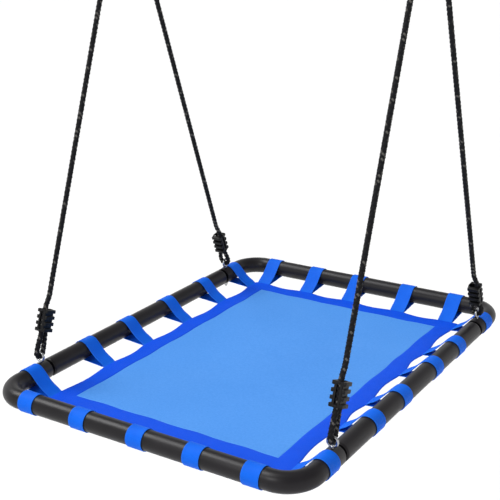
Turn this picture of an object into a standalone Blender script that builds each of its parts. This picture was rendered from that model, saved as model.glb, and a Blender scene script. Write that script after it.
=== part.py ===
"""A rectangular platform swing. Metres, +Z up, the front is -Y.

The origin is the middle of the line between the two points that the swing hangs from. That line runs along X.
Each long side of the frame hangs from one point, on two ropes that meet at a steel ring.
"""

import math

import bmesh
import bpy
from mathutils import Matrix, Vector

MM = 0.001
GAP = 0.3 * MM  # between pieces that touch

# Frame
FRAME_WIDTH = 770 * MM
FRAME_LENGTH = 1020 * MM
TUBE_RADIUS = 21 * MM
TUBE_WALL = 2 * MM
BEND_RADIUS = 60 * MM
BEND_STEPS = 5
TUBE_RESOLUTION = 6
TUBE_SIDES = 2 * TUBE_RESOLUTION + 4
SIDE_X = FRAME_WIDTH / 2 - TUBE_RADIUS
END_Y = FRAME_LENGTH / 2 - TUBE_RADIUS
RING_TO_FRAME = 1042 * MM  # height of the hanging rings' centres above the tubes' axes

# The side tubes' necks, which slide into the end tubes and show for a little at each seam
EYE_Y = 366 * MM
SEAM_Y = EYE_Y - 16 * MM
NECK_RADIUS = 18.2 * MM
NECK_LENGTH = 60 * MM
NECK_SHOWS = 8 * MM
NECK_TAPER = 3 * MM

# Eyebolts, washers and nuts
EYE_RADIUS = 10.5 * MM
EYE_WIRE = 2.75 * MM
EYE_SIDES = 16
EYE_LIFT = 14.5 * MM  # eye's centre above the top of the tube
BOLT_RADIUS = 3 * MM
BOLT_SIDES = 12
BOLT_HOLE_RADIUS = 3.4 * MM
WASHER_RADIUS = 6.5 * MM
WASHER_THICKNESS = 1.5 * MM
NUT_RADIUS = 5.8 * MM
NUT_THICKNESS = 5 * MM
BOLT_TAIL = 3.5 * MM  # shows below the nut

# Seat
STRAP_WIDTH = 38 * MM
STRAP_THICKNESS = 1.5 * MM
STRAP_CLEARANCE = 0.6 * MM
STRAP_SEWN = 5.5 * MM
STRAP_ARC_STEPS = 10
STRAPS = {  # the middle of each strap, along its own tube
    "left": (-395 * MM, -214 * MM, -69 * MM, 92 * MM, 250 * MM, 395 * MM),
    "right": (-395 * MM, -204 * MM, -74 * MM, 92 * MM, 224 * MM, 395 * MM),
    "front": (-274 * MM, -135 * MM, 10 * MM, 144 * MM, 274 * MM),
    "back": (-274 * MM, -140 * MM, -12 * MM, 130 * MM, 262 * MM),
}
MAT_DROP = 27 * MM  # mat's middle plane below the tubes' axes
MAT_THICKNESS = 2 * MM
BINDING_THICKNESS = 3 * MM
BINDING_HALF_X = 298 * MM
BINDING_HALF_Y = 421 * MM
BINDING_BAND = 44 * MM
SCALLOP_DEPTH = 7 * MM
SCALLOP_STEPS = 5

# Hanging gear
ROPE_RADIUS = 6 * MM
STRAND_OFFSET = 6.3 * MM  # half the spacing of the two strands in an adjuster or a ferrule
RING_RADIUS = 22.5 * MM
RING_WIRE = 2.5 * MM
RING_SIDES = 20
HOOK_WIRE = 3 * MM
HOOK_HALF_WIDTH = 12.5 * MM
HOOK_STEPS = 8
HOOK_LENGTH = 64 * MM  # between the middles of its end bends
GATE_TOP = -15 * MM
GATE_BOTTOM = -43 * MM
GATE_RADIUS = 2.5 * MM
GATE_GAP = 1.5 * MM  # at its pivot
NOSE_GAP = 0.5 * MM
LINK_GAP = 0.4 * MM
HOOK_TOP_Z = HOOK_WIRE
HOOK_BOTTOM_Z = HOOK_TOP_Z - HOOK_LENGTH
RING_Z = HOOK_BOTTOM_Z + HOOK_WIRE + RING_WIRE + LINK_GAP - RING_RADIUS
FRAME_Z = RING_Z - RING_TO_FRAME
EYE_Z = FRAME_Z + TUBE_RADIUS + EYE_LIFT
ADJUSTER_LENGTH = 50 * MM
ADJUSTER_CORE = 9.5 * MM
ADJUSTER_LUG = 14.5 * MM
ADJUSTER_THICKNESS = 30 * MM
LUGS = 4
LUG_LENGTH = 8.5 * MM
LUG_TAPER = 0.7 * MM
FERRULE_LENGTH = 25 * MM
FERRULE_WALL = 1.5 * MM
FERRULE_BELOW_RING = 25 * MM
STRAND_CLEARANCE = 0.4 * MM
ACROSS = Vector((1, 0, 0))
EYE_LOOP_RADIUS = 9.4 * MM
TURNED_EYE_LOOP_RADIUS = 11.4 * MM  # wider, so that the loop can tip about the eye's wire
RING_LOOP_RADIUS = 10 * MM
RING_LOOP_ANGLE = 26  # degrees round the ring from its lowest point, to keep the two loops apart
LOOP_STEPS = 8
LOOP_LEG = 5 * MM  # straight before a loop turns
JOINING = 35 * MM  # over which two strands come together
TAIL_END = 8 * MM  # how far inside an adjuster or a ferrule a tail ends
EASE_STEPS = 3

# name: (side of X, side of Y, height of the adjuster above the rope's loop, whether the eye is turned)
CORNERS = {
    "front_left": (-1, -1, 47 * MM, False),
    "back_left": (-1, 1, 34 * MM, True),
    "front_right": (1, -1, 54 * MM, False),
    "back_right": (1, 1, 24 * MM, True),
}

COLOURS = {
    "black_frame": ((0.022, 0.021, 0.022), 0.45, 0.2),
    "steel": ((0.62, 0.63, 0.66), 0.25, 1.0),
    "mat_mesh": ((0.10, 0.33, 0.90), 0.7, 0.0),
    "blue_webbing": ((0.01, 0.10, 0.80), 0.6, 0.0),
    "black_rope": ((0.01, 0.01, 0.012), 0.6, 0.0),
    "black_plastic": ((0.012, 0.012, 0.014), 0.4, 0.0),
}


def clear_scene():
    for thing in list(bpy.data.objects):
        bpy.data.objects.remove(thing)


def make_collection(name):
    collection = bpy.data.collections.new(name)
    bpy.context.scene.collection.children.link(collection)
    return collection


def make_material(name):
    colour, roughness, metallic = COLOURS[name]
    material = bpy.data.materials.new(name)
    material.use_nodes = True
    shader = material.node_tree.nodes["Principled BSDF"]
    shader.inputs["Base Color"].default_value = (*colour, 1)
    shader.inputs["Roughness"].default_value = roughness
    shader.inputs["Metallic"].default_value = metallic
    return material


clear_scene()
PARTS = make_collection("platform_swing")
CUTTERS = make_collection("cutters")


def add(name, data, finish, matrix=None):
    """A shown object. Its material is its own copy of the finish."""
    piece = bpy.data.objects.new(name, data)
    PARTS.objects.link(piece)
    data.materials.append(make_material(finish))
    piece.matrix_world = matrix or Matrix.Identity(4)
    return piece


def wire_curve(name, points, radius, resolution=2, closed=False, caps=True):
    """A round wire or tube along straight stretches between points."""
    curve = bpy.data.curves.new(name, "CURVE")
    curve.dimensions = "3D"
    curve.bevel_depth = radius
    curve.bevel_resolution = resolution
    curve.use_fill_caps = caps
    spline = curve.splines.new("POLY")
    spline.points.add(len(points) - 1)
    for i, point in enumerate(points):
        spline.points[i].co = (*point, 1)
    spline.use_cyclic_u = closed
    return curve


def flat_curve(name, outlines, thickness):
    """A plate in the object's own XY plane, filled between its outlines, and centred on the plane."""
    curve = bpy.data.curves.new(name, "CURVE")
    curve.dimensions = "2D"
    curve.fill_mode = "BOTH"
    curve.extrude = thickness / 2
    for outline in outlines:
        spline = curve.splines.new("POLY")
        spline.points.add(len(outline) - 1)
        for i, point in enumerate(outline):
            spline.points[i].co = (point[0], point[1], 0, 1)
        spline.use_cyclic_u = True
    return curve


def as_mesh(curve):
    """A mesh of the curve, with its caps welded on."""
    holder = bpy.data.objects.new("holder", curve)
    CUTTERS.objects.link(holder)
    bpy.context.view_layer.update()
    evaluated = holder.evaluated_get(bpy.context.evaluated_depsgraph_get())
    mesh = bpy.data.meshes.new_from_object(evaluated)
    bpy.data.objects.remove(holder)
    work = bmesh.new()
    work.from_mesh(mesh)
    bmesh.ops.remove_doubles(work, verts=work.verts, dist=0.01 * MM)
    bmesh.ops.recalc_face_normals(work, faces=work.faces)
    work.to_mesh(mesh)
    work.free()
    mesh.materials.clear()
    return mesh


def cylinder_mesh(name, radius, low, high, sides):
    work = bmesh.new()
    bmesh.ops.create_cone(
        work,
        cap_ends=True,
        segments=sides,
        radius1=radius,
        radius2=radius,
        depth=high - low,
        matrix=Matrix.Translation((0, 0, (low + high) / 2)),
    )
    mesh = bpy.data.meshes.new(name)
    work.to_mesh(mesh)
    work.free()
    return mesh


def cutter(name, mesh, matrix):
    tool = bpy.data.objects.new(name, mesh)
    CUTTERS.objects.link(tool)
    tool.matrix_world = matrix
    tool.hide_render = True
    tool.display_type = "WIRE"
    return tool


def boolean(piece, tool, operation="DIFFERENCE"):
    modifier = piece.modifiers.new(f"{operation.lower()}_{tool.name}", "BOOLEAN")
    modifier.operation = operation
    modifier.solver = "EXACT"
    modifier.object = tool


def turned_mesh(name, profile):
    """A closed loop of edges through a profile of (radius, height), to be turned about its own Z."""
    mesh = bpy.data.meshes.new(name)
    work = bmesh.new()
    corners = [work.verts.new((radius, 0, height)) for radius, height in profile]
    for i, corner in enumerate(corners):
        work.edges.new((corner, corners[(i + 1) % len(corners)]))
    work.to_mesh(mesh)
    work.free()
    return mesh


def add_turned(name, profile, finish, matrix, sides):
    mesh = turned_mesh(name, profile)
    piece = add(name, mesh, finish, matrix)
    screw = piece.modifiers.new("turn", "SCREW")
    screw.steps = sides
    screw.render_steps = sides
    screw.use_merge_vertices = True
    screw.merge_threshold = 0.01 * MM
    return piece


def arc(centre, radius, start, end, steps):
    """Points of an arc in a plane, from one angle in degrees to another."""
    turns = [math.radians(start + (end - start) * i / steps) for i in range(steps + 1)]
    return [
        (centre[0] + radius * math.cos(t), centre[1] + radius * math.sin(t))
        for t in turns
    ]


def smooth(mesh):
    mesh.shade_smooth()
    mesh.set_sharp_from_angle(angle=math.radians(40))


def at(x, y, z):
    return Matrix.Translation((x, y, z))


# Frame


def bolt_holes():
    """One upright cutter for each eyebolt."""
    holes = {}
    for corner, (side, end, _, _) in CORNERS.items():
        mesh = cylinder_mesh("hole", BOLT_HOLE_RADIUS, -2 * TUBE_RADIUS, 2 * TUBE_RADIUS, BOLT_SIDES)
        place = at(side * SIDE_X, end * EYE_Y, FRAME_Z)
        holes[corner] = cutter(f"bolt_hole_{corner}", mesh, place)
    return holes


def make_end_tube(name, end, holes):
    """One short side of the frame, with its two bends and their stubs."""
    bend_x = SIDE_X - BEND_RADIUS
    bend_y = END_Y - BEND_RADIUS
    half = [(SIDE_X, SEAM_Y)] + arc((bend_x, bend_y), BEND_RADIUS, 0, 90, BEND_STEPS)
    path = half + [(-x, y) for x, y in reversed(half)]
    points = [(x, end * y, 0) for x, y in path]
    mesh = as_mesh(wire_curve(name, points, TUBE_RADIUS, TUBE_RESOLUTION, caps=False))
    smooth(mesh)
    piece = add(name, mesh, "black_frame", at(0, 0, FRAME_Z))
    wall = piece.modifiers.new("wall", "SOLIDIFY")
    wall.thickness = TUBE_WALL
    wall.offset = -1
    for hole in holes:
        boolean(piece, hole)


def make_side_tube(name, side, holes):
    """One long side of the frame, with a neck at each end that slides into an end tube."""
    shoulder = SEAM_Y - NECK_SHOWS
    tip = SEAM_Y + NECK_LENGTH
    inner = TUBE_RADIUS - TUBE_WALL
    neck_inner = NECK_RADIUS - TUBE_WALL
    outer = [(NECK_RADIUS, tip), (NECK_RADIUS, shoulder), (TUBE_RADIUS, shoulder - NECK_TAPER)]
    hollow = [(neck_inner, tip), (neck_inner, shoulder - NECK_TAPER), (inner, shoulder - 2 * NECK_TAPER)]
    profile = outer + [(r, -y) for r, y in reversed(outer)]
    profile += [(r, -y) for r, y in hollow] + list(reversed(hollow))
    lie_along_y = at(side * SIDE_X, 0, FRAME_Z) @ Matrix.Rotation(math.radians(-90), 4, "X")
    piece = add_turned(name, profile, "black_frame", lie_along_y, TUBE_SIDES)
    for hole in holes:
        boolean(piece, hole)


def make_frame():
    holes = bolt_holes()
    for end_name, end in (("front", -1), ("back", 1)):
        make_end_tube(
            f"end_tube_{end_name}", end, [holes[f"{end_name}_left"], holes[f"{end_name}_right"]]
        )
    for side_name, side in (("left", -1), ("right", 1)):
        make_side_tube(
            f"side_tube_{side_name}", side, [holes[f"front_{side_name}"], holes[f"back_{side_name}"]]
        )


def make_eyebolt(corner, side, end, turned):
    """An eye on a threaded shank, with a washer and a nut under the tube.

    A turned eye stands along the tube."""
    place = at(side * SIDE_X, end * EYE_Y, FRAME_Z)
    turn = Matrix.Rotation(math.radians(90 if turned else 0), 4, "Z")
    eye_height = TUBE_RADIUS + EYE_LIFT
    washer_top = -TUBE_RADIUS - GAP
    washer_bottom = washer_top - WASHER_THICKNESS
    nut_top = washer_bottom - GAP
    nut_bottom = nut_top - NUT_THICKNESS
    circle = [(x, 0, eye_height + z) for x, z in arc((0, 0), EYE_RADIUS, 0, 360, EYE_SIDES)[:-1]]
    eye = as_mesh(wire_curve("eye", circle, EYE_WIRE, closed=True, caps=False))
    smooth(eye)
    bolt = add(f"eyebolt_{corner}", eye, "steel", place @ turn)
    shank_top = eye_height - EYE_RADIUS
    shank = cylinder_mesh("shank", BOLT_RADIUS, nut_bottom - BOLT_TAIL, shank_top, BOLT_SIDES)
    boolean(bolt, cutter(f"shank_{corner}", shank, place), "UNION")

    bore = BOLT_RADIUS + GAP
    washer = [
        (WASHER_RADIUS, washer_top),
        (WASHER_RADIUS, washer_bottom),
        (bore, washer_bottom),
        (bore, washer_top),
    ]
    add_turned(f"washer_{corner}", washer, "steel", place, BOLT_SIDES)
    hexagon = arc((0, 0), NUT_RADIUS, 0, 360, 6)[:-1]
    round_bore = arc((0, 0), bore, 0, 360, BOLT_SIDES)[:-1]
    nut = as_mesh(flat_curve("nut", [hexagon, round_bore], NUT_THICKNESS))
    middle = (nut_top + nut_bottom) / 2
    add(f"nut_{corner}", nut, "steel", place @ at(0, 0, middle))


# Seat


def scalloped_side(stops, edge):
    """Points along one edge of the binding, which pulls in between one strap and the next."""
    half = STRAP_WIDTH / 2
    points = []
    for i, stop in enumerate(stops):
        points += [(stop - half, edge), (stop + half, edge)]
        if i + 1 == len(stops):
            break
        start = stop + half
        end = stops[i + 1] - half
        for k in range(1, SCALLOP_STEPS):
            share = k / SCALLOP_STEPS
            dip = SCALLOP_DEPTH * math.sin(math.pi * share)
            points.append((start + (end - start) * share, edge - dip))
    return points


def binding_outline():
    """The whole outer edge, anticlockwise from the left end of the front edge."""
    front = [(x, -y) for x, y in scalloped_side(STRAPS["front"], BINDING_HALF_Y)]
    right = [(x, y) for y, x in scalloped_side(STRAPS["right"], BINDING_HALF_X)]
    back = [(x, y) for x, y in scalloped_side(STRAPS["back"], BINDING_HALF_Y)]
    left = [(-x, y) for y, x in scalloped_side(STRAPS["left"], BINDING_HALF_X)]
    corners = [(x * BINDING_HALF_X, y * BINDING_HALF_Y) for x, y in ((1, -1), (1, 1), (-1, 1), (-1, -1))]
    return [*front, corners[0], *right, corners[1], *reversed(back), corners[2], *reversed(left), corners[3]]


def make_mat():
    half_x = BINDING_HALF_X - BINDING_BAND
    half_y = BINDING_HALF_Y - BINDING_BAND
    plane = at(0, 0, FRAME_Z - MAT_DROP)
    window = [(-half_x, -half_y), (-half_x, half_y), (half_x, half_y), (half_x, -half_y)]
    binding = as_mesh(flat_curve("binding", [binding_outline(), window], BINDING_THICKNESS))
    add("mat_binding", binding, "blue_webbing", plane)
    work = bmesh.new()
    bmesh.ops.create_cube(work, size=1)
    size = (2 * (half_x - GAP), 2 * (half_y - GAP), MAT_THICKNESS)
    bmesh.ops.scale(work, vec=size, verts=work.verts)
    mesh = bpy.data.meshes.new("mat")
    work.to_mesh(mesh)
    work.free()
    add("mat", mesh, "mat_mesh", plane)


def strap_path(edge_distance):
    """The strap's middle line across the tube: (distance inwards from the tube's axis, height above it)."""
    radius = TUBE_RADIUS + STRAP_CLEARANCE + STRAP_THICKNESS / 2
    lift = BINDING_THICKNESS / 2 + GAP + STRAP_THICKNESS / 2
    top = Vector((edge_distance, lift - MAT_DROP))
    bottom = Vector((edge_distance, -lift - MAT_DROP))
    reach_up = math.acos(radius / top.length)
    reach_down = math.acos(radius / bottom.length)
    start = math.degrees(math.atan2(top.y, top.x) + reach_up)
    end = 360 + math.degrees(math.atan2(bottom.y, bottom.x) - reach_down)
    sewn = Vector((STRAP_SEWN, 0))
    loop = arc((0, 0), radius, start, end, STRAP_ARC_STEPS)
    return [top + sewn, top, *loop, bottom, bottom + sewn]


def make_strap(name, path, place):
    """A band that follows the path in its own XZ plane, with its width along Y."""
    work = bmesh.new()
    line = [work.verts.new((d, -STRAP_WIDTH / 2, z)) for d, z in path]
    edges = [work.edges.new(pair) for pair in zip(line, line[1:])]
    grown = bmesh.ops.extrude_edge_only(work, edges=edges)["geom"]
    far = [g for g in grown if isinstance(g, bmesh.types.BMVert)]
    bmesh.ops.translate(work, vec=(0, STRAP_WIDTH, 0), verts=far)
    mesh = bpy.data.meshes.new(name)
    work.to_mesh(mesh)
    work.free()
    piece = add(name, mesh, "blue_webbing", place)
    ply = piece.modifiers.new("ply", "SOLIDIFY")
    ply.thickness = STRAP_THICKNESS
    ply.offset = 0
    ply.use_even_offset = True


def make_straps():
    side_path = strap_path(SIDE_X - BINDING_HALF_X)
    end_path = strap_path(END_Y - BINDING_HALF_Y)
    for side_name, side, turn in (("left", -1, 0), ("right", 1, 180)):
        facing = Matrix.Rotation(math.radians(turn), 4, "Z")
        for number, y in enumerate(STRAPS[side_name], 1):
            place = at(side * SIDE_X, y, FRAME_Z) @ facing
            make_strap(f"strap_{side_name}_{number}", side_path, place)
    for end_name, end, turn in (("front", -1, 90), ("back", 1, -90)):
        facing = Matrix.Rotation(math.radians(turn), 4, "Z")
        for number, x in enumerate(STRAPS[end_name], 1):
            place = at(x, end * END_Y, FRAME_Z) @ facing
            make_strap(f"strap_{end_name}_{number}", end_path, place)


# Hanging gear


def eased(start, end, steps):
    """Points between two (height, offset) places, along a smooth S."""
    points = []
    for i in range(1, steps + 1):
        share = i / (steps + 1)
        blend = (1 - math.cos(math.pi * share)) / 2
        points.append((start[0] + (end[0] - start[0]) * share, start[1] + (end[1] - start[1]) * blend))
    return points


def rope_lines(side, end, turned):
    """The middle of the eye's wire under the rope, the rope's direction, the direction that its lower loop
    opens in, and how far up the ring's wire is."""
    eye = Vector((side * SIDE_X, end * EYE_Y, EYE_Z))
    slant = math.radians(RING_LOOP_ANGLE)
    ring_wire = Vector((0, end * RING_RADIUS * math.sin(slant), -RING_RADIUS * math.cos(slant)))
    top = Vector((side * SIDE_X, 0, RING_Z)) + ring_wire
    if turned:
        foot = eye + EYE_RADIUS * (top - eye).normalized()
        up = (top - foot).normalized()
        sideways = ACROSS
    else:
        foot = eye + Vector((0, 0, EYE_RADIUS))
        up = (top - foot).normalized()
        sideways = ACROSS.cross(up)
    return foot, up, sideways, (top - foot).length


def rope_route(side, end, adjuster_height, turned):
    """The rope's middle line, from its tail in the adjuster, round the eye and the ring, to its ferrule."""
    foot, up, sideways, ring_height = rope_lines(side, end, turned)
    loop = TURNED_EYE_LOOP_RADIUS if turned else EYE_LOOP_RADIUS
    low = adjuster_height
    high = adjuster_height + ADJUSTER_LENGTH
    ferrule_top = ring_height - FERRULE_BELOW_RING
    ferrule_bottom = ferrule_top - FERRULE_LENGTH

    lower = [(high - TAIL_END, -STRAND_OFFSET), (low, -STRAND_OFFSET)]
    lower += eased((low, -STRAND_OFFSET), (LOOP_LEG, -loop), EASE_STEPS)
    lower += [(h, o) for o, h in arc((0, 0), loop, 180, 360, LOOP_STEPS)]
    lower += eased((LOOP_LEG, loop), (low, STRAND_OFFSET), EASE_STEPS)
    lower += [(low, STRAND_OFFSET), (high, STRAND_OFFSET)]
    lower += eased((high, STRAND_OFFSET), (high + JOINING, 0), EASE_STEPS)

    upper = eased((ferrule_bottom - JOINING, 0), (ferrule_bottom, -STRAND_OFFSET), EASE_STEPS)
    upper += [(ferrule_bottom, -STRAND_OFFSET), (ferrule_top, -STRAND_OFFSET)]
    upper += eased((ferrule_top, -STRAND_OFFSET), (ring_height - LOOP_LEG, -RING_LOOP_RADIUS), EASE_STEPS)
    upper += [(ring_height + h, o) for o, h in arc((0, 0), RING_LOOP_RADIUS, 180, 0, LOOP_STEPS)]
    upper += eased((ring_height - LOOP_LEG, RING_LOOP_RADIUS), (ferrule_top, STRAND_OFFSET), EASE_STEPS)
    upper += [(ferrule_top, STRAND_OFFSET), (ferrule_bottom + TAIL_END, STRAND_OFFSET)]

    route = [foot + up * height + sideways * offset for height, offset in lower]
    return route + [foot + up * height + ACROSS * offset for height, offset in upper]


def upright_axes(middle, up, thick):
    """A matrix whose Z is up and whose Y is thick, at middle."""
    wide = thick.cross(up)
    turn = Matrix((wide, thick, up)).transposed().to_4x4()
    return Matrix.Translation(middle) @ turn


def stadium(half_length, half_width, steps=5):
    """An outline with round ends, long along Y."""
    reach = half_length - half_width
    return arc((0, reach), half_width, 0, 180, steps) + arc((0, -reach), half_width, 180, 360, steps)


def strand_bore(clearance):
    return stadium(STRAND_OFFSET + ROPE_RADIUS + clearance, ROPE_RADIUS + clearance)


def make_adjuster(corner, foot, up, sideways, height):
    """A ladder block with four lugs on each side, and a bore that holds the rope's two strands."""
    pitch = (ADJUSTER_LENGTH - LUG_LENGTH) / (LUGS - 1)
    right = []
    for lug in range(LUGS):
        low = lug * pitch - ADJUSTER_LENGTH / 2
        right += [
            (ADJUSTER_CORE, low),
            (ADJUSTER_LUG, low + LUG_TAPER),
            (ADJUSTER_LUG, low + LUG_LENGTH - LUG_TAPER),
            (ADJUSTER_CORE, low + LUG_LENGTH),
        ]
    outline = right + [(-x, y) for x, y in reversed(right)]
    mesh = as_mesh(flat_curve("adjuster", [outline], ADJUSTER_THICKNESS))
    mesh.transform(Matrix.Rotation(math.radians(90), 4, "X"))
    place = upright_axes(foot + up * (height + ADJUSTER_LENGTH / 2), up, sideways)
    block = add(f"adjuster_{corner}", mesh, "black_plastic", place)
    bore = as_mesh(flat_curve("bore", [strand_bore(STRAND_CLEARANCE)], 2 * ADJUSTER_LENGTH))
    boolean(block, cutter(f"adjuster_bore_{corner}", bore, place))


def make_ferrule(corner, foot, up, ring_height):
    """The oval sleeve that closes the rope's upper loop."""
    inner = strand_bore(STRAND_CLEARANCE)
    outer = strand_bore(STRAND_CLEARANCE + FERRULE_WALL)
    mesh = as_mesh(flat_curve("ferrule", [outer, inner], FERRULE_LENGTH))
    middle = ring_height - FERRULE_BELOW_RING - FERRULE_LENGTH / 2
    place = upright_axes(foot + up * middle, up, ACROSS)
    add(f"rope_ferrule_{corner}", mesh, "black_plastic", place)


def make_rope(corner, side, end, adjuster_height, turned):
    route = rope_route(side, end, adjuster_height, turned)
    add(f"rope_{corner}", wire_curve(f"rope_{corner}", route, ROPE_RADIUS), "black_rope")
    foot, up, sideways, ring_height = rope_lines(side, end, turned)
    make_adjuster(corner, foot, up, sideways, adjuster_height)
    make_ferrule(corner, foot, up, ring_height)


def make_hanger(side_name, side):
    """A ring that holds two ropes, and the spring hook that it hangs from."""
    circle = [(0, y, z) for y, z in arc((0, 0), RING_RADIUS, 0, 360, RING_SIDES)[:-1]]
    ring = as_mesh(wire_curve("ring", circle, RING_WIRE, closed=True, caps=False))
    smooth(ring)
    add(f"hanging_ring_{side_name}", ring, "steel", at(side * SIDE_X, 0, RING_Z))

    top = (0, HOOK_TOP_Z - HOOK_HALF_WIDTH)
    bottom = (0, HOOK_BOTTOM_Z + HOOK_HALF_WIDTH)
    wire = [(HOOK_HALF_WIDTH, GATE_BOTTOM - GATE_GAP)]
    wire += arc(bottom, HOOK_HALF_WIDTH, 0, -180, HOOK_STEPS)
    wire += arc(top, HOOK_HALF_WIDTH, 180, 0, HOOK_STEPS)
    wire += [(HOOK_HALF_WIDTH, GATE_TOP + NOSE_GAP)]
    points = [(x, 0, z) for x, z in wire]
    add(f"carabiner_{side_name}", wire_curve("hook", points, HOOK_WIRE), "steel", at(side * SIDE_X, 0, 0))
    gate = cylinder_mesh("gate", GATE_RADIUS, 0, GATE_TOP - GATE_BOTTOM, BOLT_SIDES)
    place = at(side * SIDE_X + HOOK_HALF_WIDTH, 0, GATE_BOTTOM)
    add(f"carabiner_gate_{side_name}", gate, "steel", place)


make_frame()
for corner_name, (x_side, y_side, adjuster_up, is_turned) in CORNERS.items():
    make_eyebolt(corner_name, x_side, y_side, is_turned)
    make_rope(corner_name, x_side, y_side, adjuster_up, is_turned)
make_mat()
make_straps()
for hanger_name, hanger_side in (("left", -1), ("right", 1)):
    make_hanger(hanger_name, hanger_side)
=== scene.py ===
"""The visual model of a rectangular platform swing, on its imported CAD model.

Metres, +Z up, the front is -Y. The origin is the middle of the line between the two hanging points.
"""

import math

import bmesh
import bpy
from mathutils import Matrix, Quaternion, Vector


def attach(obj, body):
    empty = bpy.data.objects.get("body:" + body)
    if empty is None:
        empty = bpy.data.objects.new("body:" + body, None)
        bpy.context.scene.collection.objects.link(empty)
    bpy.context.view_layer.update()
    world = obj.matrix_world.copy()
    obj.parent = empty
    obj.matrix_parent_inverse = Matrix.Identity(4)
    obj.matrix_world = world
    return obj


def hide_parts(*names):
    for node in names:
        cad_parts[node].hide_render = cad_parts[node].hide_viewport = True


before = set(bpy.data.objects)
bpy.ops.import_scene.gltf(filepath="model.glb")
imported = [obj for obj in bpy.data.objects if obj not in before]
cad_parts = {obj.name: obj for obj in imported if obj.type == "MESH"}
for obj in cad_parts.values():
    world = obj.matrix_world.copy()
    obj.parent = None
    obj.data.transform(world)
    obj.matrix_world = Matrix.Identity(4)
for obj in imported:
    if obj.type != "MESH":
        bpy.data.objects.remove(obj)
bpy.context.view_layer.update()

MM = 0.001
UP = Vector((0, 0, 1))
ACROSS = Vector((1, 0, 0))

# Frame, as in the CAD model
TUBE_RADIUS = 21 * MM
BEND_RADIUS = 60 * MM
SIDE_X = 364 * MM
END_Y = 489 * MM
EYE_Y = 366 * MM
SEAM_Y = EYE_Y - 16 * MM
NECK_RADIUS = 18.2 * MM
NECK_SHOWS = 8 * MM
NECK_TAPER = 3 * MM
NECK_MODELLED = 20 * MM  # how much of the joint past the seam is made
RING_Z = -77.6 * MM
FRAME_Z = RING_Z - 1042 * MM
TUBE_SIDES = 56
BEND_STEPS = 28
LIP = 0.7 * MM  # rounding of a cut tube's edge

# Eyebolts
EYE_RADIUS = 10.5 * MM
EYE_WIRE = 2.75 * MM
EYE_Z = FRAME_Z + TUBE_RADIUS + 14.5 * MM
BOLT_RADIUS = 3 * MM
THREAD_PITCH = 1 * MM
THREAD_DEPTH = 0.4 * MM
WASHER_RADIUS = 6.5 * MM
WASHER_THICKNESS = 1.5 * MM
NUT_ACROSS = 10 * MM
NUT_THICKNESS = 5 * MM
BOLT_TAIL = 3.5 * MM
GAP = 0.3 * MM

# Seat
STRAP_WIDTH = 38 * MM
STRAP_THICKNESS = 1.5 * MM
STRAP_CLEARANCE = 0.6 * MM
STRAP_TUCK = 4 * MM  # how far a strap goes in between the binding's two plies
STRAP_PLY_SPREAD = 0.9 * MM
TUCKED_SHARE = 0.4  # of its thickness, where it ends inside the binding
STRAP_SLACK = 4.5 * MM  # how far its upper ply hangs in
STRAPS = {  # the middle of each strap, along its own tube
    "left": (-395 * MM, -214 * MM, -69 * MM, 92 * MM, 250 * MM, 395 * MM),
    "right": (-395 * MM, -204 * MM, -74 * MM, 92 * MM, 224 * MM, 395 * MM),
    "front": (-274 * MM, -135 * MM, 10 * MM, 144 * MM, 274 * MM),
    "back": (-274 * MM, -140 * MM, -12 * MM, 130 * MM, 262 * MM),
}
MAT_Z = FRAME_Z - 27 * MM
MAT_THICKNESS = 1.2 * MM
MAT_SAG = 4 * MM
MAT_UNDER_BINDING = 6 * MM
MAT_THREAD = 2.2 * MM
WEBBING_COLUMN = 1.9 * MM
WEBBING_ROW = 1.5 * MM
BINDING_HALF_X = 298 * MM
BINDING_HALF_Y = 421 * MM
BINDING_BAND = 44 * MM
BINDING_CORNER = 5 * MM  # rounding of its outer corners
BINDING_PLY = 1.1 * MM
SCALLOP_DEPTH = 7 * MM
INNER_SCALLOP = 0.35  # share of the outer edge's depth
STRAP_STEPS = 8
SCALLOP_STEPS = 16

# Ropes and their fittings
ROPE_RADIUS = 6 * MM
STRAND_OFFSET = 6.3 * MM
ADJUSTER_LENGTH = 50 * MM
ADJUSTER_HALF_CORE = 9.3 * MM
ADJUSTER_HALF_THICKNESS = 13.8 * MM
ADJUSTER_END = 5.5 * MM  # height of the collar at each end
LUG_REACH = 14.5 * MM
LUG_ROOT = 7.5 * MM
LUG_LENGTH = 8.5 * MM
LUGS = 4
FERRULE_LENGTH = 25 * MM
FERRULE_BELOW_RING = 25 * MM
FERRULE_WALL = 1.5 * MM
STRAND_CLEARANCE = 0.4 * MM
EYE_LOOP_RADIUS = 9.4 * MM
TURNED_EYE_LOOP_RADIUS = 11.4 * MM
RING_LOOP_RADIUS = 10 * MM
RING_LOOP_ANGLE = 26
LOOP_LEG = 5 * MM
JOINING = 35 * MM
TAIL_END = 8 * MM
ROPE_STEP = 1.25 * MM
ROPE_SIDES = 24
PLAITS = 3  # strands in each direction of the braid
PLAIT_PITCH = 10 * MM
PLAIT_HEIGHT = 2 * MM
PLAIT_MIDDLE = 0.75  # share of a strand's height that lies inside the rope's radius
PLAIT_ROUNDNESS = 0.8
SHEEN_FLECK_RARITY = 0.78  # share of the strands that get no painted sheen and stay black
SHEEN_FLECK_HALF_WIDTH = 0.24  # share of a strand
SHEEN_FLECK_HALF_LENGTH = 0.42
RING_RADIUS = 22.5 * MM
RING_WIRE = 2.5 * MM
HOOK_WIRE = 3 * MM
HOOK_HALF_WIDTH = 12.5 * MM
HOOK_TOP_Z = 3 * MM
HOOK_BOTTOM_Z = -61 * MM
GATE_TOP = -15 * MM
GATE_BOTTOM = -43 * MM
GATE_RADIUS = 2.5 * MM
GATE_GAP = 1.5 * MM
NOSE_GAP = 0.5 * MM
HOOK_DOME = 0.9 * MM  # room for the wire's domed end

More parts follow.
